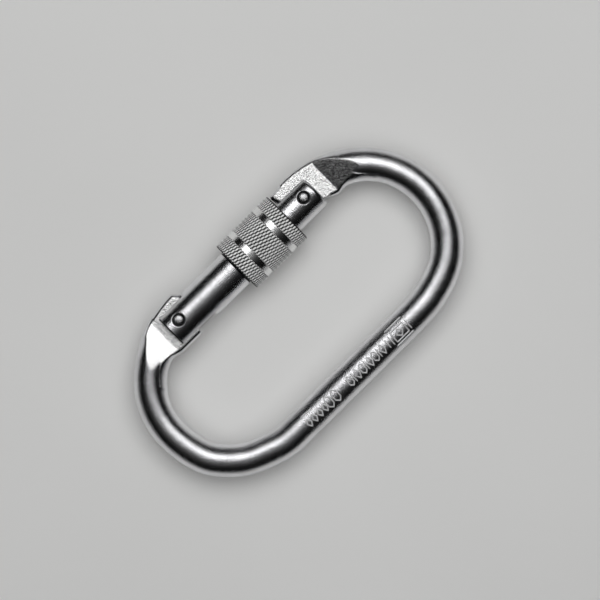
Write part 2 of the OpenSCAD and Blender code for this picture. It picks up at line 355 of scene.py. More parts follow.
def nose_pocket():
    """What is machined out of the nose end: the latch notch and all below its lip."""
    lx, ly = LATCH[0], LATCH[1]
    seat = PIN_R + 0.1
    lip_y = ly - 1.8
    low = GATE_Y - 12
    return (
        [(FINGER_X - 2, lip_y + 0.5), (LIP_X, lip_y + 0.5), (LIP_X + 0.5, lip_y)]
        + [(lx - seat, lip_y)]
        + arc((lx, ly), seat, 180, 0, 14)
        + [(lx + seat, lip_y - 1.2), (GATE_X1 + 0.4, GATE_Y - 3.8), (GATE_X1 + 1.5, GATE_Y - 4.2)]
        + [(GATE_X1 + 2.9, GATE_Y - 5.3), (GATE_X1 + 3.6, low), (FINGER_X - 2, low)]
    )


HINGE_BLANK = hinge_blank()
HINGE_POCKET = hinge_pocket()
NOSE_BLANK = nose_blank()
NOSE_POCKET = nose_pocket()


# Where the bent bar strays from true half circles: side, distance along it from the
# middle of the spine, spread, and how far outward
BENDS = ((1, 32, 7, -0.5), (-1, 34, 5, -0.52), (-1, 51, 5, 0.42), (-1, 87, 8, -0.45))


def bar_band(x, y):
    """Signed distance, in plan, from the band that the round bar covers."""
    beyond = np.maximum(np.abs(x) - BOW_X, 0)
    radial = np.hypot(beyond, y - BOW_Y)
    along = np.minimum(np.abs(x), BOW_X)
    along = along + BOW_R * np.where(beyond > 0, np.arctan2(y - BOW_Y, beyond) + math.pi / 2, 0)
    centre = np.full(x.shape, BOW_R)
    for side, place, spread, shift in BENDS:
        centre += np.where(x * side > 0, shift * np.exp(-((along - place) / spread) ** 2), 0)
    return np.abs(radial - centre) - BAR_R


def frame_solid(x, y, z):
    """The bent bar with both forged ends, below zero inside."""
    upper = y > BOW_Y
    band = bar_band(x, y)
    # the bar stops inside the plates
    stop = np.where(upper, np.where(x < 0, x - HINGE_FLAT_X - 1, NOSE_FLAT_X - 1 - x), NO_CUT)
    band = np.maximum(band, stop)
    edge = band.copy()
    forged = np.zeros(x.shape)
    for blank, near in ((HINGE_BLANK, x < -14), (NOSE_BLANK, x > 14)):
        at = np.flatnonzero(near & (y > GATE_Y - 14))
        end = outline_distance(blank, x[at], y[at])
        reach = np.where(x[at] < 0, HINGE_FLAT_X - x[at], x[at] - NOSE_FLAT_X)
        forged[at] = smooth_step(reach, 8.5, 1.5)
        edge[at] = smooth_min(edge[at], end + 0.25 * smooth_step(reach, 4, 9), 0.9)
    # section: a circle in the bar, squarer and wider where it is forged
    power = 2 + 0.6 * forged
    half = BAR_R + 0.9 * forged
    inward = np.maximum(half + edge, 0)
    section = (inward ** power + (np.abs(z) * half / BAR_R) ** power) ** (1 / power) - half
    section = np.where(edge > 0.5, np.maximum(section, edge), section)
    # forged faces: flat on the plates, rising on the ramps
    rise_hinge = PLATE_HALF + RAMP_SLOPE * np.maximum(HINGE_FLAT_X - x, 0)
    rise_nose = PLATE_HALF + RAMP_SLOPE * np.maximum(x - NOSE_FLAT_X, 0)
    faces = np.abs(z) - np.where(x < 0, rise_hinge, rise_nose)
    faces = np.where(upper & (np.abs(x) < BOW_X + 18), faces, NO_CUT)
    # the plates' edges are rounder than those of the ramps and the finger's tip
    reach = np.where(x < 0, HINGE_FLAT_X - x, x - NOSE_FLAT_X)
    past_tip = smooth_step(np.abs(x), FINGER_X, FINGER_X + 2)
    rounding = 0.22 + 0.45 * smooth_step(reach, 3, 0) * past_tip
    solid = smooth_max(section, faces, rounding)
    # machined features
    at = np.flatnonzero((y > GATE_Y - 14) & (np.abs(x) > 12))
    cut = np.full(x.shape, NO_CUT)
    cut[at] = np.where(
        x[at] < 0, -outline_distance(HINGE_POCKET, x[at], y[at]),
        -outline_distance(NOSE_POCKET, x[at], y[at]))
    solid = smooth_max(solid, cut, 0.25)
    hole = PIN_R + 0.06 - np.hypot(x - HINGE[0], y - HINGE[1])
    solid = smooth_max(solid, hole, 0.1)
    # the finger is turned down where the sleeve passes over it
    turned = np.hypot(y - GATE_Y, z) - FINGER_R - np.maximum(x - FINGER_LOCK_X, 0)
    near_finger = (x > FINGER_X - 1) & (x < FINGER_LOCK_X + 4) & (y > GATE_Y - 10)
    turned = np.where(near_finger, turned, NO_CUT)
    return smooth_max(solid, turned, 0.2)


BAR_GRID_STEP = 0.3


def make_frame():
    return implicit_object("bent_bar", frame_solid, frame_low, frame_high, BAR_GRID_STEP)


# ---------------------------------------------------------------- gate barrel
def round_rod(x, r, x0, x1, radius, edge):
    """A rod along X with rounded ends, as a function of x and the radius from its axis."""
    dx = np.abs(x - (x0 + x1) / 2) - (x1 - x0) / 2 + edge
    dr = r - radius + edge
    outside = np.hypot(np.maximum(dx, 0), np.maximum(dr, 0))
    return outside + np.minimum(np.maximum(dx, dr), 0) - edge


def thread_rise(x, angle):
    """Height, from 0 to 1, of the barrel's right-hand thread."""
    turn = (x - THREAD_X0) / PITCH - angle / (2 * math.pi)
    ridge = 1 - np.abs(2 * (turn - np.floor(turn)) - 1) * 1.5
    fade = smooth_step(x, THREAD_X0 + 0.1, THREAD_X0 + 0.7)
    fade = fade * smooth_step(x, THREAD_X1 - 0.1, THREAD_X1 - 0.8)
    return np.clip(ridge * 1.7, 0, 1) * fade


# Outline of the slot for the hinge plate, seen along Z
HINGE_SLOT = [
    (GATE_X0 - 3, GATE_Y - 8), (HINGE[0] + 8.75, GATE_Y - 8),
    (HINGE[0] + 8.75, GATE_Y - 5.8), (HINGE[0] + 5.25, GATE_Y + 5.8),
    (HINGE[0] + 5.25, GATE_Y + 8), (GATE_X0 - 3, GATE_Y + 8),
]


def rivet_seat(x, y, z, pin, surface):
    """Hole for a rivet, with a counterbore at each end, above zero inside it."""
    radial = np.hypot(x - pin[0], y - pin[1])
    hole = PIN_R - radial
    sink = np.minimum(PIN_R + 0.35 - radial, np.abs(z) - surface + 0.75)
    return np.maximum(hole, sink)


def barrel_solid(x, y, z):
    """The turned gate with its thread, bore, slots and rivet seats, below zero inside."""
    r = np.hypot(y - GATE_Y, z)
    angle = np.arctan2(z, y - GATE_Y)
    body = round_rod(x, r, GATE_X0, SHOULDER_X, BARREL_R, 0.45)
    core = round_rod(x, r, SHOULDER_X - 3, THREAD_X1 + 3, THREAD_ROOT_R, 0.1)
    nose = round_rod(x, r, THREAD_X1, GATE_X1, NOSE_R, 1.25)
    solid = np.minimum(np.minimum(body, core), nose)
    rise = (THREAD_CREST_R - THREAD_ROOT_R) * thread_rise(x, angle)
    ridge = np.where((x > THREAD_X0) & (x < THREAD_X1), 0.75 * (r - THREAD_ROOT_R - rise), FAR)
    solid = np.minimum(solid, ridge)
    bore = np.minimum(BORE_R - r, BORE_END - x)
    solid = smooth_max(solid, bore, 0.12)
    slot = np.minimum(SLOT_HALF - np.abs(z), -outline_distance(HINGE_SLOT, x, y))
    solid = smooth_max(solid, slot, 0.22)
    nose_slot = np.minimum(SLOT_HALF - np.abs(z), x - SLEEVE_X1 + 0.55)
    # the nose slot leaves a wall towards the spine
    nose_slot = np.minimum(nose_slot, y - GATE_Y + NOSE_R - NOSE_WALL)
    solid = smooth_max(solid, nose_slot, 0.22)
    solid = smooth_max(solid, rivet_seat(x, y, z, HINGE, BARREL_R), 0.24)
    return smooth_max(solid, rivet_seat(x, y, z, LATCH, NOSE_R), 0.24)


BARREL_GRID_STEP = 0.196


def make_barrel():
    return implicit_object(
        "turned_barrel", barrel_solid, barrel_low, barrel_high, BARREL_GRID_STEP)


# ---------------------------------------------------------------- sleeve
KNURLS_AROUND = 54
KNURL_LENGTH = 2.4
KNURL_DEPTHS = (0.15, 0.27)
KNURL_SHARPNESS = 2.3
SLEEVE_GROOVES = ((4.5, 6.45), (14.05, 16.05))
AROUND = 432
INNER_ROOT_R = 5.86
INNER_THREAD_LEN = 5.5
INNER_THREAD_DEPTH = 0.36


def knurl_cut(x, angle):
    """Depth of the diamond knurling: two crossing sets of grooves, one set cut deeper."""
    a = angle * KNURLS_AROUND / (2 * math.pi)
    b = x / KNURL_LENGTH
    depth = 0
    for phase, deep in zip((a + b, a - b), KNURL_DEPTHS):
        groove = np.abs(2 * (phase - np.floor(phase)) - 1)
        depth = depth + deep * groove ** KNURL_SHARPNESS
    return depth


def sleeve_outside():
    """(x, radius, share of knurling) along the outside of the sleeve."""
    chamfer = 0.5
    groove_r = SLEEVE_R - 0.25
    step = 0.12
    rows = [(0.0, SLEEVE_R - chamfer - 0.05, 0), (0.0, SLEEVE_R - chamfer, 0)]
    rows += [(0.08, SLEEVE_R - chamfer + 0.14, 0.3), (0.22, SLEEVE_R - 0.16, 0.8)]
    stops = [(0.4, SLEEVE_GROOVES[0][0]), (SLEEVE_GROOVES[0][1], SLEEVE_GROOVES[1][0]),
             (SLEEVE_GROOVES[1][1], SLEEVE_LEN - 0.4)]
    for band, (start, end) in enumerate(stops):
        count = int(round((end - start) / step))
        for i in range(count + 1):
            rows.append((start + (end - start) * i / count, SLEEVE_R, 1))
        if band < 2:
            nxt = stops[band + 1][0]
            rows += [(end + 0.03, SLEEVE_R - 0.16, 0.3), (end + 0.06, groove_r, 0)]
            rows += [(end + 0.16, groove_r, 0), ((end + nxt) / 2, groove_r, 0)]
            rows += [(nxt - 0.16, groove_r, 0), (nxt - 0.06, groove_r, 0)]
            rows += [(nxt - 0.03, SLEEVE_R - 0.16, 0.3)]
    rows += [(SLEEVE_LEN - 0.22, SLEEVE_R - 0.16, 0.8), (SLEEVE_LEN - 0.08, SLEEVE_R - 0.36, 0.3)]
    return rows + [(SLEEVE_LEN, SLEEVE_R - chamfer, 0), (SLEEVE_LEN, SLEEVE_R - chamfer - 0.05, 0)]


def sleeve_inside():
    """(x, radius, share of thread) back along the inside of the sleeve."""
    cover_r = FINGER_R + 0.1
    cover_x = SLEEVE_LEN - 3.82
    plain_r = 5.95
    ring_x = (ring_low[0] + ring_high[0]) / 2 - SLEEVE_X0
    groove_r = 6.28
    rows = [(SLEEVE_LEN, cover_r + 0.2, 0), (SLEEVE_LEN - 0.2, cover_r, 0)]
    rows += [(cover_x + 0.01, cover_r, 0), (cover_x, cover_r - 0.02, 0)]
    rows += [(cover_x, plain_r + 0.1, 0), (cover_x - 0.1, plain_r, 0)]
    rows += [(ring_x + 0.45, plain_r, 0), (ring_x + 0.45, groove_r, 0)]
    rows += [(ring_x - 0.45, groove_r, 0), (ring_x - 0.45, plain_r, 0)]
    rows += [(INNER_THREAD_LEN + 0.05, plain_r, 0), (INNER_THREAD_LEN, INNER_ROOT_R, 0)]
    count = 60
    rows += [(INNER_THREAD_LEN * (1 - i / count), INNER_ROOT_R, 1) for i in range(1, count)]
    return rows + [(0.0, INNER_ROOT_R, 0), (0.0, 6.3, 0)]


def make_sleeve():
    """The knurled sleeve, threaded inside, as one closed skin of rings."""
    angle = np.linspace(0, 2 * math.pi, AROUND, endpoint=False)
    rings = []
    for x, r, share in sleeve_outside():
        rings.append((x, r - share * knurl_cut(x, angle)))
    thread_ends = 0.6
    for x, r, share in sleeve_inside():
        turn = (SLEEVE_X0 + x - THREAD_X0) / PITCH - angle / (2 * math.pi) + 0.5
        ridge = 1 - np.abs(2 * (turn - np.floor(turn)) - 1) * 1.5
        fade = share * smooth_step(x, 0.1, thread_ends) * smooth_step(x, 5.4, 5.4 - thread_ends)
        rings.append((x, r - INNER_THREAD_DEPTH * fade * np.clip(1.7 * ridge, 0, 1)))
    points = [
        np.stack([np.full(AROUND, SLEEVE_X0 + x), GATE_Y + r * np.cos(angle), r * np.sin(angle)], 1)
        for x, r in rings
    ]
    faces = [f[::-1] for f in wrap_faces(len(rings), AROUND, closed_rings=True)]
    obj = make_object("knurled_sleeve", np.concatenate(points), faces)
    obj.data.set_sharp_from_angle(angle=math.radians(50))
    return obj


# ---------------------------------------------------------------- small turned pieces
def closed_turning(name, profile, around=96):
    """A solid turned about the gate axis, from (x, radius) rows that end near the axis."""
    points = along_x(profile, around)
    faces = wrap_faces(len(profile), around)
    first = list(range(around))
    last = [(len(profile) - 1) * around + j for j in range(around - 1, -1, -1)]
    faces = [f[::-1] for f in faces + [first, last]]
    obj = make_object(name, points, faces)
    obj.data.set_sharp_from_angle(angle=math.radians(35))
    return obj


def make_plunger():
    """A round head that meets the hinge plate, and a thinner tail inside the spring."""
    x0, x1 = plunger_low[0], plunger_high[0]
    head = 5.0
    tail_r = 1.45
    r = (plunger_high[2] - plunger_low[2]) / 2
    profile = [(x0, 0.02), (x0, r - 0.5), (x0 + 0.12, r - 0.22), (x0 + 0.45, r - 0.02)]
    profile += [(x0 + 0.6, r), (x0 + head - 0.2, r), (x0 + head, r - 0.2), (x0 + head, tail_r + 0.1)]
    profile += [(x0 + head + 0.1, tail_r), (x1 - 0.4, tail_r), (x1, tail_r - 0.4), (x1, 0.02)]
    return closed_turning("stepped_plunger", profile)


def make_rivet(name, pin, high):
    """A peened rivet: shank with a low domed head at both ends, turned about Z."""
    around = 96
    top = high[2]
    rim = top - 0.5
    rows = [(0.02, top)]
    steps = 14
    for i in range(1, steps + 1):
        a = math.radians(90 * i / steps)
        rows.append(((PIN_R - 0.15) * math.sin(a), rim + (top - rim) * math.cos(a) ** 0.8))
    rows += [(PIN_R - 0.15, rim - 0.05), (PIN_R, rim - 0.25)]
    rows += [(r, -z) for r, z in rows[::-1]]
    a = np.linspace(0, 2 * math.pi, around, endpoint=False)
    points = [
        np.stack([pin[0] + r * np.cos(a), pin[1] + r * np.sin(a), np.full(around, z)], 1)
        for r, z in rows
    ]
    faces = wrap_faces(len(rows), around)
    faces += [list(range(around))[::-1], [(len(rows) - 1) * around + j for j in range(around)]]
    faces = [f[::-1] for f in faces]
    return make_object(name, np.concatenate(points), faces)


def tube(name, path, radius, sides=14):
    """A round wire along a path, closed with flat ends."""
    path = np.asarray(path)
    ahead = np.gradient(path, axis=0)
    ahead /= np.linalg.norm(ahead, axis=1, keepdims=True)
    side = np.cross(ahead, (1.0, 0.0, 0.0))
    side /= np.linalg.norm(side, axis=1, keepdims=True)
    up = np.cross(side, ahead)
    b = np.linspace(0, 2 * math.pi, sides, endpoint=False)
    radii = np.full(len(path), radius)
    radii[0] = radii[-1] = 0.8 * radius
    points = [
        p + r * (np.cos(b)[:, None] * s + np.sin(b)[:, None] * u)
        for p, s, u, r in zip(path, side, up, radii)
    ]
    faces = wrap_faces(len(path), sides)
    faces += [list(range(sides))[::-1], [(len(path) - 1) * sides + j for j in range(sides)]]
    faces = [f[::-1] for f in faces]
    return make_object(name, np.concatenate(points), faces)


def make_spring():
    """The return spring at its installed length."""
    wire = 0.4
    coils = 11
    x0, x1 = spring_low[0] + wire, spring_high[0] - wire
    radius = (spring_high[1] - spring_low[1]) / 2 - wire
    path = []
    steps = 28 * coils
    for i in range(steps + 1):
        t = i / steps
        # the coils are 14% wider apart at the ends and the middle, and closer between
        x = x0 + (x1 - x0) * (t + 0.035 * math.sin(4 * math.pi * t) / math.pi)
        a = 2 * math.pi * coils * t
        path.append((x, GATE_Y + radius * math.cos(a), radius * math.sin(a)))
    return tube("coil_spring", path, wire)


def make_ring():
    """The split wire ring in the sleeve's inner groove."""
    wire = (ring_high[0] - ring_low[0]) / 2
    radius = 5.83
    gap = 28
    x = (ring_low[0] + ring_high[0]) / 2
    path = []
    for i in range(121):
        # the gap faces -Z, as in the CAD model
        a = math.radians(-90 + gap / 2 + (360 - gap) * i / 120)
        path.append((x, GATE_Y + radius * math.cos(a), radius * math.sin(a)))
    return tube("snap_ring", path, wire)


# ---------------------------------------------------------------- marks on the spine
SPINE_Y = BOW_Y - BOW_R
MARK_HALF = 0.22
MARK_RISE = 0.22


def mark_ridge(path, closed):
    """A low round ridge along a path of (x, arc length across the bar) on the spine."""
    path = np.asarray(path, float)
    if closed:
        path = np.vstack([path, path[:1]])
    spans = np.linalg.norm(np.diff(path, axis=0), axis=1)
    dense = [path[0]]
    for (p, q), span in zip(zip(path[:-1], path[1:]), spans):
        count = max(1, int(span / 0.2))
        dense += [p + (q - p) * i / count for i in range(1, count + 1)]
    dense = np.array(dense)
    if closed:
        dense = dense[:-1]
        ahead = np.roll(dense, -1, 0) - np.roll(dense, 1, 0)
    else:
        ahead = np.gradient(dense, axis=0)
    ahead /= np.linalg.norm(ahead, axis=1, keepdims=True)
    across = np.stack([-ahead[:, 1], ahead[:, 0]], 1)
    profile = [(-1, -0.06), (-0.9, 0.07), (-0.6, 0.17), (-0.2, MARK_RISE), (0.2, MARK_RISE)]
    profile += [(0.6, 0.17), (0.9, 0.07), (1, -0.06)]
    points = []
    for i, (p, n) in enumerate(zip(dense, across)):
        end = 1 if closed else min(1, 0.25 + 0.5 * min(i, len(dense) - 1 - i))
        for w, h in profile:
            x, s = p + n * w * MARK_HALF * end
            lift = h if h < 0 else h * end
            a = s / BAR_R
            r = BAR_R + lift
            points.append((x, SPINE_Y + r * math.sin(a), r * math.cos(a)))
    faces = wrap_faces(len(dense), len(profile), closed_rings=closed)
    if not closed:
        faces.append(list(range(len(profile)))[::-1])
        faces.append([(len(dense) - 1) * len(profile) + j for j in range(len(profile))])
    return points, [f[::-1] for f in faces]


def ring_path(x, s, half_x, half_s, sides, turn=0.0):
    """A closed polygon, stretched to the half sizes given."""
    a = [math.radians(turn + 360 * i / sides) for i in range(sides)]
    return [(x + half_x * math.cos(t), s + half_s * math.sin(t)) for t in a], True


def spine_paths():
    """Plain symbols for marks on the bar: diamonds, hexagons, ticks and a framed square."""
    mid = -0.4
    tall = 2.0
    paths = []
    for i in range(4):
        paths.append(ring_path(-19.5 + 2.05 * i, mid - 0.3, 0.75, 1.3, 4))
    paths.append(([(-20.4, mid + tall + 0.6), (-16.4, mid + tall + 0.3)], False))
    for i in range(2):
        paths.append(ring_path(-11.5 + 2.6 * i, mid, 1.05, tall, 6, 30))
    for i in range(3):
        x = -3.2 + 4.9 * i
        paths.append(ring_path(x, mid, 0.9, 0.8 * tall, 6, 30))
        paths.append(([(x + 1.45, mid - 0.8 * tall), (x + 1.45, mid + 0.8 * tall)], False))
        paths.append(ring_path(x + 2.9, mid, 0.8, 0.8 * tall, 4))
    paths.append(([(11.5, mid - 1.5), (11.5, mid + 1.5)], False))
    for s in (mid - 2.55, mid + 3.1):
        paths.append(([(13.0, s), (19.4, s)], False))
    paths.append(ring_path(16.2, mid, 3.2, 2.3, 4, 45))
    paths.append(ring_path(16.2, mid, 1.15, 1.15, 4))
    paths.append(([(12.9, mid - 1.7), (12.9, mid + 1.7)], False))
    paths.append(([(19.5, mid - 1.7), (19.5, mid + 1.7)], False))
    return paths


def make_marks():
    """All the marks as one piece."""
    points, faces = [], []
    for path, closed in spine_paths():
        more, quads = mark_ridge(path, closed)
        faces += [[k + len(points) for k in f] for f in quads]
        points += more
    return make_object("spine_marks", points, faces)


# ---------------------------------------------------------------- materials
def new_material(name):
    """A metal material with an empty Principled shader: material, node tree, shader."""
    material = bpy.data.materials.new(name)
    material.use_nodes = True
    tree = material.node_tree
    tree.nodes.clear()
    out = tree.nodes.new("ShaderNodeOutputMaterial")
    shader = tree.nodes.new("ShaderNodeBsdfPrincipled")
    tree.links.new(shader.outputs["BSDF"], out.inputs["Surface"])
    shader.inputs["Metallic"].default_value = 1.0
    return material, tree, shader


def noise(tree, scale, detail=4.0, rough=0.55, stretch=(1, 1, 1), distortion=0.0):
    """Noise in object space; scale is in features per metre."""
    place = tree.nodes.new("ShaderNodeTexCoord")
    mapping = tree.nodes.new("ShaderNodeMapping")
    mapping.inputs["Scale"].default_value = stretch
    texture = tree.nodes.new("ShaderNodeTexNoise")
    texture.inputs["Scale"].default_value = scale
    texture.inputs["Detail"].default_value = detail
    texture.inputs["Roughness"].default_value = rough
    texture.inputs["Distortion"].default_value = distortion
    tree.links.new(place.outputs["Object"], mapping.inputs["Vector"])
    tree.links.new(mapping.outputs["Vector"], texture.inputs["Vector"])
    return texture.outputs["Fac"]


def ramp(tree, value, stops):
    """Maps a value through (position, brightness) stops."""
    node = tree.nodes.new("ShaderNodeValToRGB")
    for i, (place, level) in enumerate(stops):
        element = node.color_ramp.elements[i] if i < 2 else node.color_ramp.elements.new(place)
        element.position = place
        colour = level if isinstance(level, tuple) else (level, level, level)
        element.color = (*colour, 1)
    tree.links.new(value, node.inputs["Fac"])
    return node.outputs["Color"]


def bump(tree, shader, heights):
    """Stacks bumps of (height socket, strength, distance in metres)."""
    normal = None
    for height, strength, distance in heights:
        node = tree.nodes.new("ShaderNodeBump")
        node.inputs["Strength"].default_value = strength
        node.inputs["Distance"].default_value = distance
        tree.links.new(height, node.inputs["Height"])
        if normal is not None:
            tree.links.new(normal, node.inputs["Normal"])
        normal = node.outputs["Normal"]
    tree.links.new(normal, shader.inputs["Normal"])


def maths(tree, operation, *values, clamp=False):
    """A Math node on sockets or numbers."""
    node = tree.nodes.new("ShaderNodeMath")
    node.operation = operation
    node.use_clamp = clamp
    for socket, value in zip(node.inputs, values):
        if isinstance(value, bpy.types.NodeSocket):
            tree.links.new(value, socket)
        else:
            socket.default_value = value
    return node.outputs["Value"]


def place_xyz(tree):
    """Sockets for the place in the shared frame, in millimetres."""
    place = tree.nodes.new("ShaderNodeTexCoord")
    split = tree.nodes.new("ShaderNodeSeparateXYZ")
    tree.links.new(place.outputs["Object"], split.inputs["Vector"])
    return [maths(tree, "MULTIPLY", socket, 1 / MM) for socket in split.outputs]


def step_up(tree, value, low, high):
    """0 below low, 1 above high, smooth between; with low above high it falls instead."""
    node = tree.nodes.new("ShaderNodeMapRange")
    node.interpolation_type = "SMOOTHSTEP"
    node.inputs["From Min"].default_value = low
    node.inputs["From Max"].default_value = high
    tree.links.new(value, node.inputs["Value"])
    return node.outputs["Result"]


def mixed(tree, share, a, b):
    """a + share * (b - a), for numbers."""
    return maths(tree, "ADD", a, maths(tree, "MULTIPLY", share, maths(tree, "SUBTRACT", b, a)))


def with_grey(tree, colour, share, level, blend_type):
    """A colour combined with a grey of that level, fully where share is 1."""
    node = tree.nodes.new("ShaderNodeMix")
    node.data_type = "RGBA"
    node.blend_type = blend_type
    tree.links.new(share, node.inputs["Factor"])
    tree.links.new(colour, node.inputs["A"])
    node.inputs["B"].default_value = (level, level, level, 1)
    return node.outputs["Result"]


def darkened(tree, colour, share, level):
    """A colour multiplied down to level where share is 1."""
    return with_grey(tree, colour, share, level, "MULTIPLY")


def brightened(tree, colour, share, level):
    """A colour replaced by a grey of that level where share is 1."""
    return with_grey(tree, colour, share, level, "MIX")


def forged_faces(tree):
    """1 on the forged plates and their ramps, 0 on the round bar."""
    x, y, z = place_xyz(tree)
    middle = (HINGE_FLAT_X + NOSE_FLAT_X) / 2
    flat = (NOSE_FLAT_X - HINGE_FLAT_X) / 2
    from_middle = maths(tree, "ABSOLUTE", maths(tree, "SUBTRACT", x, middle))
    beyond = maths(tree, "MAXIMUM", maths(tree, "SUBTRACT", from_middle, flat), 0.0)
    rise = maths(tree, "MULTIPLY", beyond, -RAMP_SLOPE)
    height = maths(tree, "ADD", maths(tree, "ABSOLUTE", z), rise)
    on_face = step_up(tree, height, PLATE_HALF - 0.12, PLATE_HALF - 0.04)
    return maths(tree, "MULTIPLY", on_face, step_up(tree, y, GATE_Y - 11, GATE_Y - 9))


def near_pins(tree, reach):
    """1 within reach of a rivet's axis, 0 outside."""
    x, y, _ = place_xyz(tree)
    total = 0.0
    for pin in (HINGE, LATCH):
        dx = maths(tree, "SUBTRACT", x, float(pin[0]))
        dy = maths(tree, "SUBTRACT", y, float(pin[1]))
        square = maths(tree, "ADD", maths(tree, "MULTIPLY", dx, dx), maths(tree, "MULTIPLY", dy, dy))
        near = step_up(tree, maths(tree, "SQRT", square), reach + 0.12, reach - 0.12)
        total = maths(tree, "ADD", total, near)
    return total


def knurl_bands(tree):
    """1 on the knurled bands of the sleeve, 0 in the smooth grooves between them."""
    x = place_xyz(tree)[0]
    cut = 1.0
    for start, end in SLEEVE_GROOVES:
        middle = float(SLEEVE_X0 + (start + end) / 2)
        smooth = maths(tree, "COMPARE", x, middle, (end - start) / 2)
        cut = maths(tree, "SUBTRACT", cut, smooth, clamp=True)
    return cut


def knurl_recess(tree):
    """0 on the tops of the knurls, rising to 1 at the bottom of their grooves."""
    _, y, z = place_xyz(tree)
    dy = maths(tree, "SUBTRACT", y, float(GATE_Y))
    square = maths(tree, "ADD", maths(tree, "MULTIPLY", dy, dy), maths(tree, "MULTIPLY", z, z))
    return step_up(tree, maths(tree, "SQRT", square), SLEEVE_R - 0.06, SLEEVE_R - 0.17)


def plated_steel(name, tint, rough, pits=0.5, turning=0.0):
    """Bright plated steel: cloudy tint and gloss, fine pitting, and turning lines if turned."""
    material, tree, shader = new_material(name)
    dark = tuple(0.84 * c for c in tint)
    colour = ramp(tree, noise(tree, 160, 5), [(0.35, dark), (0.62, tint)])
    level = ramp(tree, noise(tree, 420, 6, 0.65), [(0.3, rough), (0.72, rough + 0.13)])
    speckle = noise(tree, 2400, 3, 0.7)
    heights = [(noise(tree, 140, 2), 0.2, 0.0003), (speckle, pits, 0.00016)]
    if turning:
        lines = noise(tree, 2600, 3, 0.6, (1, 0.04, 0.04))
        heights.append((lines, turning, 0.00006))
    return material, tree, shader, colour, level, heights


def finish_steel(parts, colour=None, level=None, heights=()):
    """Links what plated_steel returned, with any of it replaced."""
    material, tree, shader, own_colour, own_level, own_heights = parts
    tree.links.new(colour or own_colour, shader.inputs["Base Color"])
    tree.links.new(level or own_level, shader.inputs["Roughness"])
    bump(tree, shader, own_heights + list(heights))
    return material


def bar_finish():
    """The frame's plating, peppered with small pits where it was forged flat, paler there as painted
    light, with painted shade on the nose ramp.
    """
    parts = plated_steel("plated_bar", (0.83, 0.83, 0.85), 0.12, 0.5)
    tree, colour, level = parts[1], parts[3], parts[4]
    forged = forged_faces(tree)
    x = place_xyz(tree)[0]
    nose_ramp = maths(tree, "MULTIPLY", forged, step_up(tree, x, NOSE_FLAT_X, NOSE_FLAT_X + 0.2))
    pepper = step_up(tree, noise(tree, 2300, 1.5, 0.5), 0.54, 0.62)
    # painted light: the forged plates and ramps are lifted to near white in colour
    colour = brightened(tree, colour, forged, 0.97)
    # the hinge ramp has no pits, and the nose ramp gets painted shade, toned well below the rest by
    # colour
    pitted = maths(tree, "MULTIPLY", forged, step_up(tree, x, HINGE_FLAT_X - 0.2, HINGE_FLAT_X))
    colour = darkened(tree, colour, nose_ramp, 0.42)
    colour = darkened(tree, colour, maths(tree, "MULTIPLY", pitted, pepper), 0.62)
    colour = darkened(tree, colour, maths(tree, "MULTIPLY", nose_ramp, pepper), 0.6)
    # painted shade: dark streaks along X on the hinge plate beside the barrel's end
    streaks = step_up(tree, noise(tree, 1500, 3, 0.6, (0.22, 1, 1)), 0.55, 0.66)
    beside_barrel = step_up(tree, x, float(HINGE[0]) - 5.2, float(HINGE[0]) - 3.4)
    short_of_ear = step_up(tree, x, float(GATE_X0) + 1.0, float(GATE_X0) + 0.2)
    beside_barrel = maths(tree, "MULTIPLY", beside_barrel, short_of_ear)
    barrel_end_shade = maths(tree, "MULTIPLY", maths(tree, "MULTIPLY", forged, beside_barrel), streaks)
    colour = darkened(tree, colour, barrel_end_shade, 0.35)
    level = mixed(tree, nose_ramp, mixed(tree, forged, level, 0.27), 0.16)
    rough_bump = maths(tree, "MULTIPLY", pitted, noise(tree, 2000, 4, 0.7))
    return finish_steel(parts, colour, level, [(rough_bump, 0.35, 0.00015)])


def barrel_finish():
    """Turned and plated, with painted shade round each rivet's counterbore and along the hinge end's
    rim.
    """
    parts = plated_steel("turned_barrel", (0.83, 0.83, 0.85), 0.12, 0.35, turning=0.5)
    tree, colour, level = parts[1], parts[3], parts[4]
    # painted shade: the counterbores and the hinge end's rim are darkened in colour
    painted_shade = near_pins(tree, PIN_R + 0.42)
    rim = step_up(tree, place_xyz(tree)[0], float(GATE_X0) + 0.5, float(GATE_X0) + 0.3)
    painted_shade = maths(tree, "MAXIMUM", painted_shade, rim)
    colour = darkened(tree, colour, painted_shade, 0.12)
    return finish_steel(parts, colour, mixed(tree, painted_shade, level, 0.5))


def rivet_finish():
    """Peened rivets, with painted shade round the edge of the head, where it sits in the
    counterbore.
    """
    parts = plated_steel("peened_rivet", (0.78, 0.78, 0.79), 0.2, 0.6)
    tree, colour, level = parts[1], parts[3], parts[4]
    # painted shade: the edge of the head is darkened in colour
    edge = maths(tree, "SUBTRACT", 1.0, near_pins(tree, PIN_R - 0.18))
    return finish_steel(parts, darkened(tree, colour, edge, 0.15), level)


def knurl_finish():
    """Plated knurling, pale on top as painted light, and black in its grooves as painted shade."""
    parts = plated_steel("knurled_steel", (0.98, 0.98, 0.98), 0.13, 0.25)
    tree, shader, colour, level = parts[1:5]
    cut = knurl_bands(tree)
    # painted shade: the knurled bands' grooves are darkened to near black
    groove_shade = maths(tree, "MULTIPLY", cut, knurl_recess(tree))
    colour = darkened(tree, colour, groove_shade, 0.02)
    # mostly non-metal on the knurled bands, to stand in for light that their facets scatter
    tree.links.new(mixed(tree, cut, 1.0, 0.14), shader.inputs["Metallic"])
    return finish_steel(parts, colour, mixed(tree, cut, level, 0.32))


def plunger_finish():
    """Ground steel, darker than the plating."""
    return finish_steel(plated_steel("ground_plunger", (0.55, 0.55, 0.56), 0.2, 0.2, turning=0.6))


def mark_finish():
    """The raised marks: paler than the bar as painted highlight, and shaded as half metal so that
    they show.
    """
    parts = plated_steel("painted_highlight_marks", (0.95, 0.95, 0.96), 0.3, 0.8)
    parts[2].inputs["Metallic"].default_value = 0.5
    return finish_steel(parts)


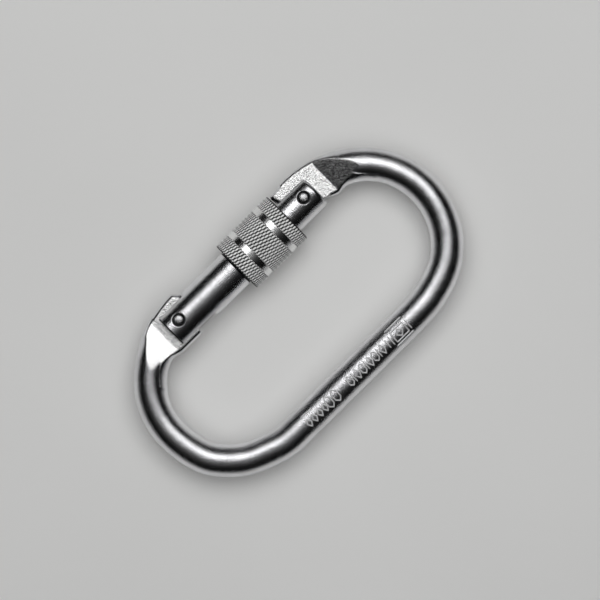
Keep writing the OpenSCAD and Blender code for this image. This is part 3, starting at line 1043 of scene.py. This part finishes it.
def spring_wire():
    """Drawn wire, dull and slightly brown."""
    material, tree, shader = new_material("drawn_spring_wire")
    colour = ramp(tree, noise(tree, 500, 4), [(0.3, (0.3, 0.29, 0.27)), (0.7, (0.5, 0.49, 0.46))])
    tree.links.new(colour, shader.inputs["Base Color"])
    level = ramp(tree, noise(tree, 1400, 4), [(0.3, 0.22), (0.7, 0.4)])
    tree.links.new(level, shader.inputs["Roughness"])
    bump(tree, shader, [(noise(tree, 1800, 3), 0.2, 0.00005)])
    return material


def floor_paint():
    """The plain pale floor."""
    material, tree, shader = new_material("pale_floor")
    shader.inputs["Metallic"].default_value = 0.0
    colour = ramp(tree, noise(tree, 6, 3), [(0.3, (0.78, 0.78, 0.77)), (0.7, (0.82, 0.82, 0.81))])
    tree.links.new(colour, shader.inputs["Base Color"])
    shader.inputs["Roughness"].default_value = 0.85
    return material


# ---------------------------------------------------------------- stage
CAMERA_ROLL = math.radians(44.7)
CAMERA_HEIGHT = 0.75
CAMERA_AIM = (0.00274, 0.00139)
VIEW_WIDTH = 0.1687
SENSOR_WIDTH_MM = 36
FLOOR_HALF = 1.5
FLOOR_GAP_MM = 0.02


def make_camera():
    """Straight down on the carabiner, rolled so that it lies across the picture's diagonal."""
    data = bpy.data.cameras.new("camera")
    data.sensor_width = SENSOR_WIDTH_MM
    data.lens = SENSOR_WIDTH_MM * CAMERA_HEIGHT / VIEW_WIDTH
    data.clip_start = 0.01
    data.clip_end = 20
    camera = bpy.data.objects.new("camera", data)
    camera.location = (*CAMERA_AIM, CAMERA_HEIGHT)
    camera.rotation_euler = (0, 0, -CAMERA_ROLL)
    bpy.context.scene.collection.objects.link(camera)
    bpy.context.scene.camera = camera


def area_light(name, tilt, azimuth, distance, size, size_y, power, glossy=True):
    """A soft rectangle aimed at the object; tilt from vertical, azimuth from +X, in degrees."""
    data = bpy.data.lights.new(name, "AREA")
    data.shape = "RECTANGLE"
    data.size = size
    data.size_y = size_y
    data.energy = power
    obj = bpy.data.objects.new(name, data)
    t, a = math.radians(tilt), math.radians(azimuth)
    back = np.array([math.sin(t) * math.cos(a), math.sin(t) * math.sin(a), math.cos(t)])
    side = np.array([-math.sin(a), math.cos(a), 0.0])
    up = np.cross(back, side)
    turn = Matrix((
        (side[0], up[0], back[0]), (side[1], up[1], back[1]), (side[2], up[2], back[2])))
    obj.matrix_world = Matrix.Translation(back * distance) @ turn.to_4x4()
    obj.visible_glossy = glossy
    bpy.context.scene.collection.objects.link(obj)


def make_world():
    """A dim studio: a soft grey ceiling that falls to near black at the walls."""
    world = bpy.data.worlds.new("studio")
    world.use_nodes = True
    bpy.context.scene.world = world
    tree = world.node_tree
    tree.nodes.clear()
    out = tree.nodes.new("ShaderNodeOutputWorld")
    background = tree.nodes.new("ShaderNodeBackground")
    place = tree.nodes.new("ShaderNodeTexCoord")
    split = tree.nodes.new("ShaderNodeSeparateXYZ")
    tree.links.new(place.outputs["Generated"], split.inputs["Vector"])
    level = ramp(tree, split.outputs["Z"], [(0.0, 0.008), (1.0, 0.27), (0.3, 0.003), (0.7, 0.01),
                                            (0.88, 0.035), (0.95, 0.1)])
    tree.links.new(level, background.inputs["Color"])
    background.inputs["Strength"].default_value = 1.0
    tree.links.new(background.outputs["Background"], out.inputs["Surface"])


def make_floor(material):
    """A square floor just below the sleeve, which is the lowest piece."""
    height = sleeve_low[2] - FLOOR_GAP_MM
    points = [(x * FLOOR_HALF / MM, y * FLOOR_HALF / MM, height)
              for x, y in ((-1, -1), (1, -1), (1, 1), (-1, 1))]
    floor = make_object("floor", points, [(0, 1, 2, 3)])
    floor.data.materials.append(material)


make_camera()
make_world()
# the key is towards the top of the picture, about 45 degrees from the carabiner's X
KEY_AZIMUTH = 90 - math.degrees(CAMERA_ROLL)
area_light("key", 22.5, KEY_AZIMUTH, 0.62, 0.62, 0.32, 1.1)
area_light("key_edge", 47, KEY_AZIMUTH, 0.62, 0.66, 0.2, 0.12)
area_light("fill", 0, 0, 0.9, 1.2, 1.2, 5.2, glossy=False)

# ---------------------------------------------------------------- dressing the frame
bar_steel = bar_finish()
mark_steel = mark_finish()
turned_steel = barrel_finish()
knurl_steel = knurl_finish()
rivet_steel = rivet_finish()
ground_steel = plunger_finish()
wire_steel = spring_wire()


def dress(obj, body, nodes, material):
    """A piece that rides on a body, stands for CAD nodes and wears a material."""
    obj.data.materials.append(material)
    if body:
        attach(obj, body)
    if nodes:
        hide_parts(*nodes)


dress(make_frame(), "frame", ["frame"], bar_steel)
dress(make_marks(), "frame", [], mark_steel)
dress(make_barrel(), "gate", ["gate_barrel"], turned_steel)
dress(make_rivet("hinge_rivet", HINGE, hinge_high), "gate", ["hinge_pin"],
      rivet_steel)
dress(make_rivet("latch_rivet", LATCH, latch_high), "gate", ["latch_pin"],
      rivet_steel)
# the spring is baked in place at its installed length, on no body; its inner end stays in the bore
spring = make_spring()
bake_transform(spring)
dress(spring, None, ["return_spring"], wire_steel)
dress(make_plunger(), "plunger", ["plunger"], ground_steel)
dress(make_ring(), "friction_ring", ["friction_ring"], wire_steel)
dress(make_sleeve(), "sleeve", ["locking_sleeve"], knurl_steel)
make_floor(floor_paint())

bpy.context.scene.view_settings.view_transform = "Standard"
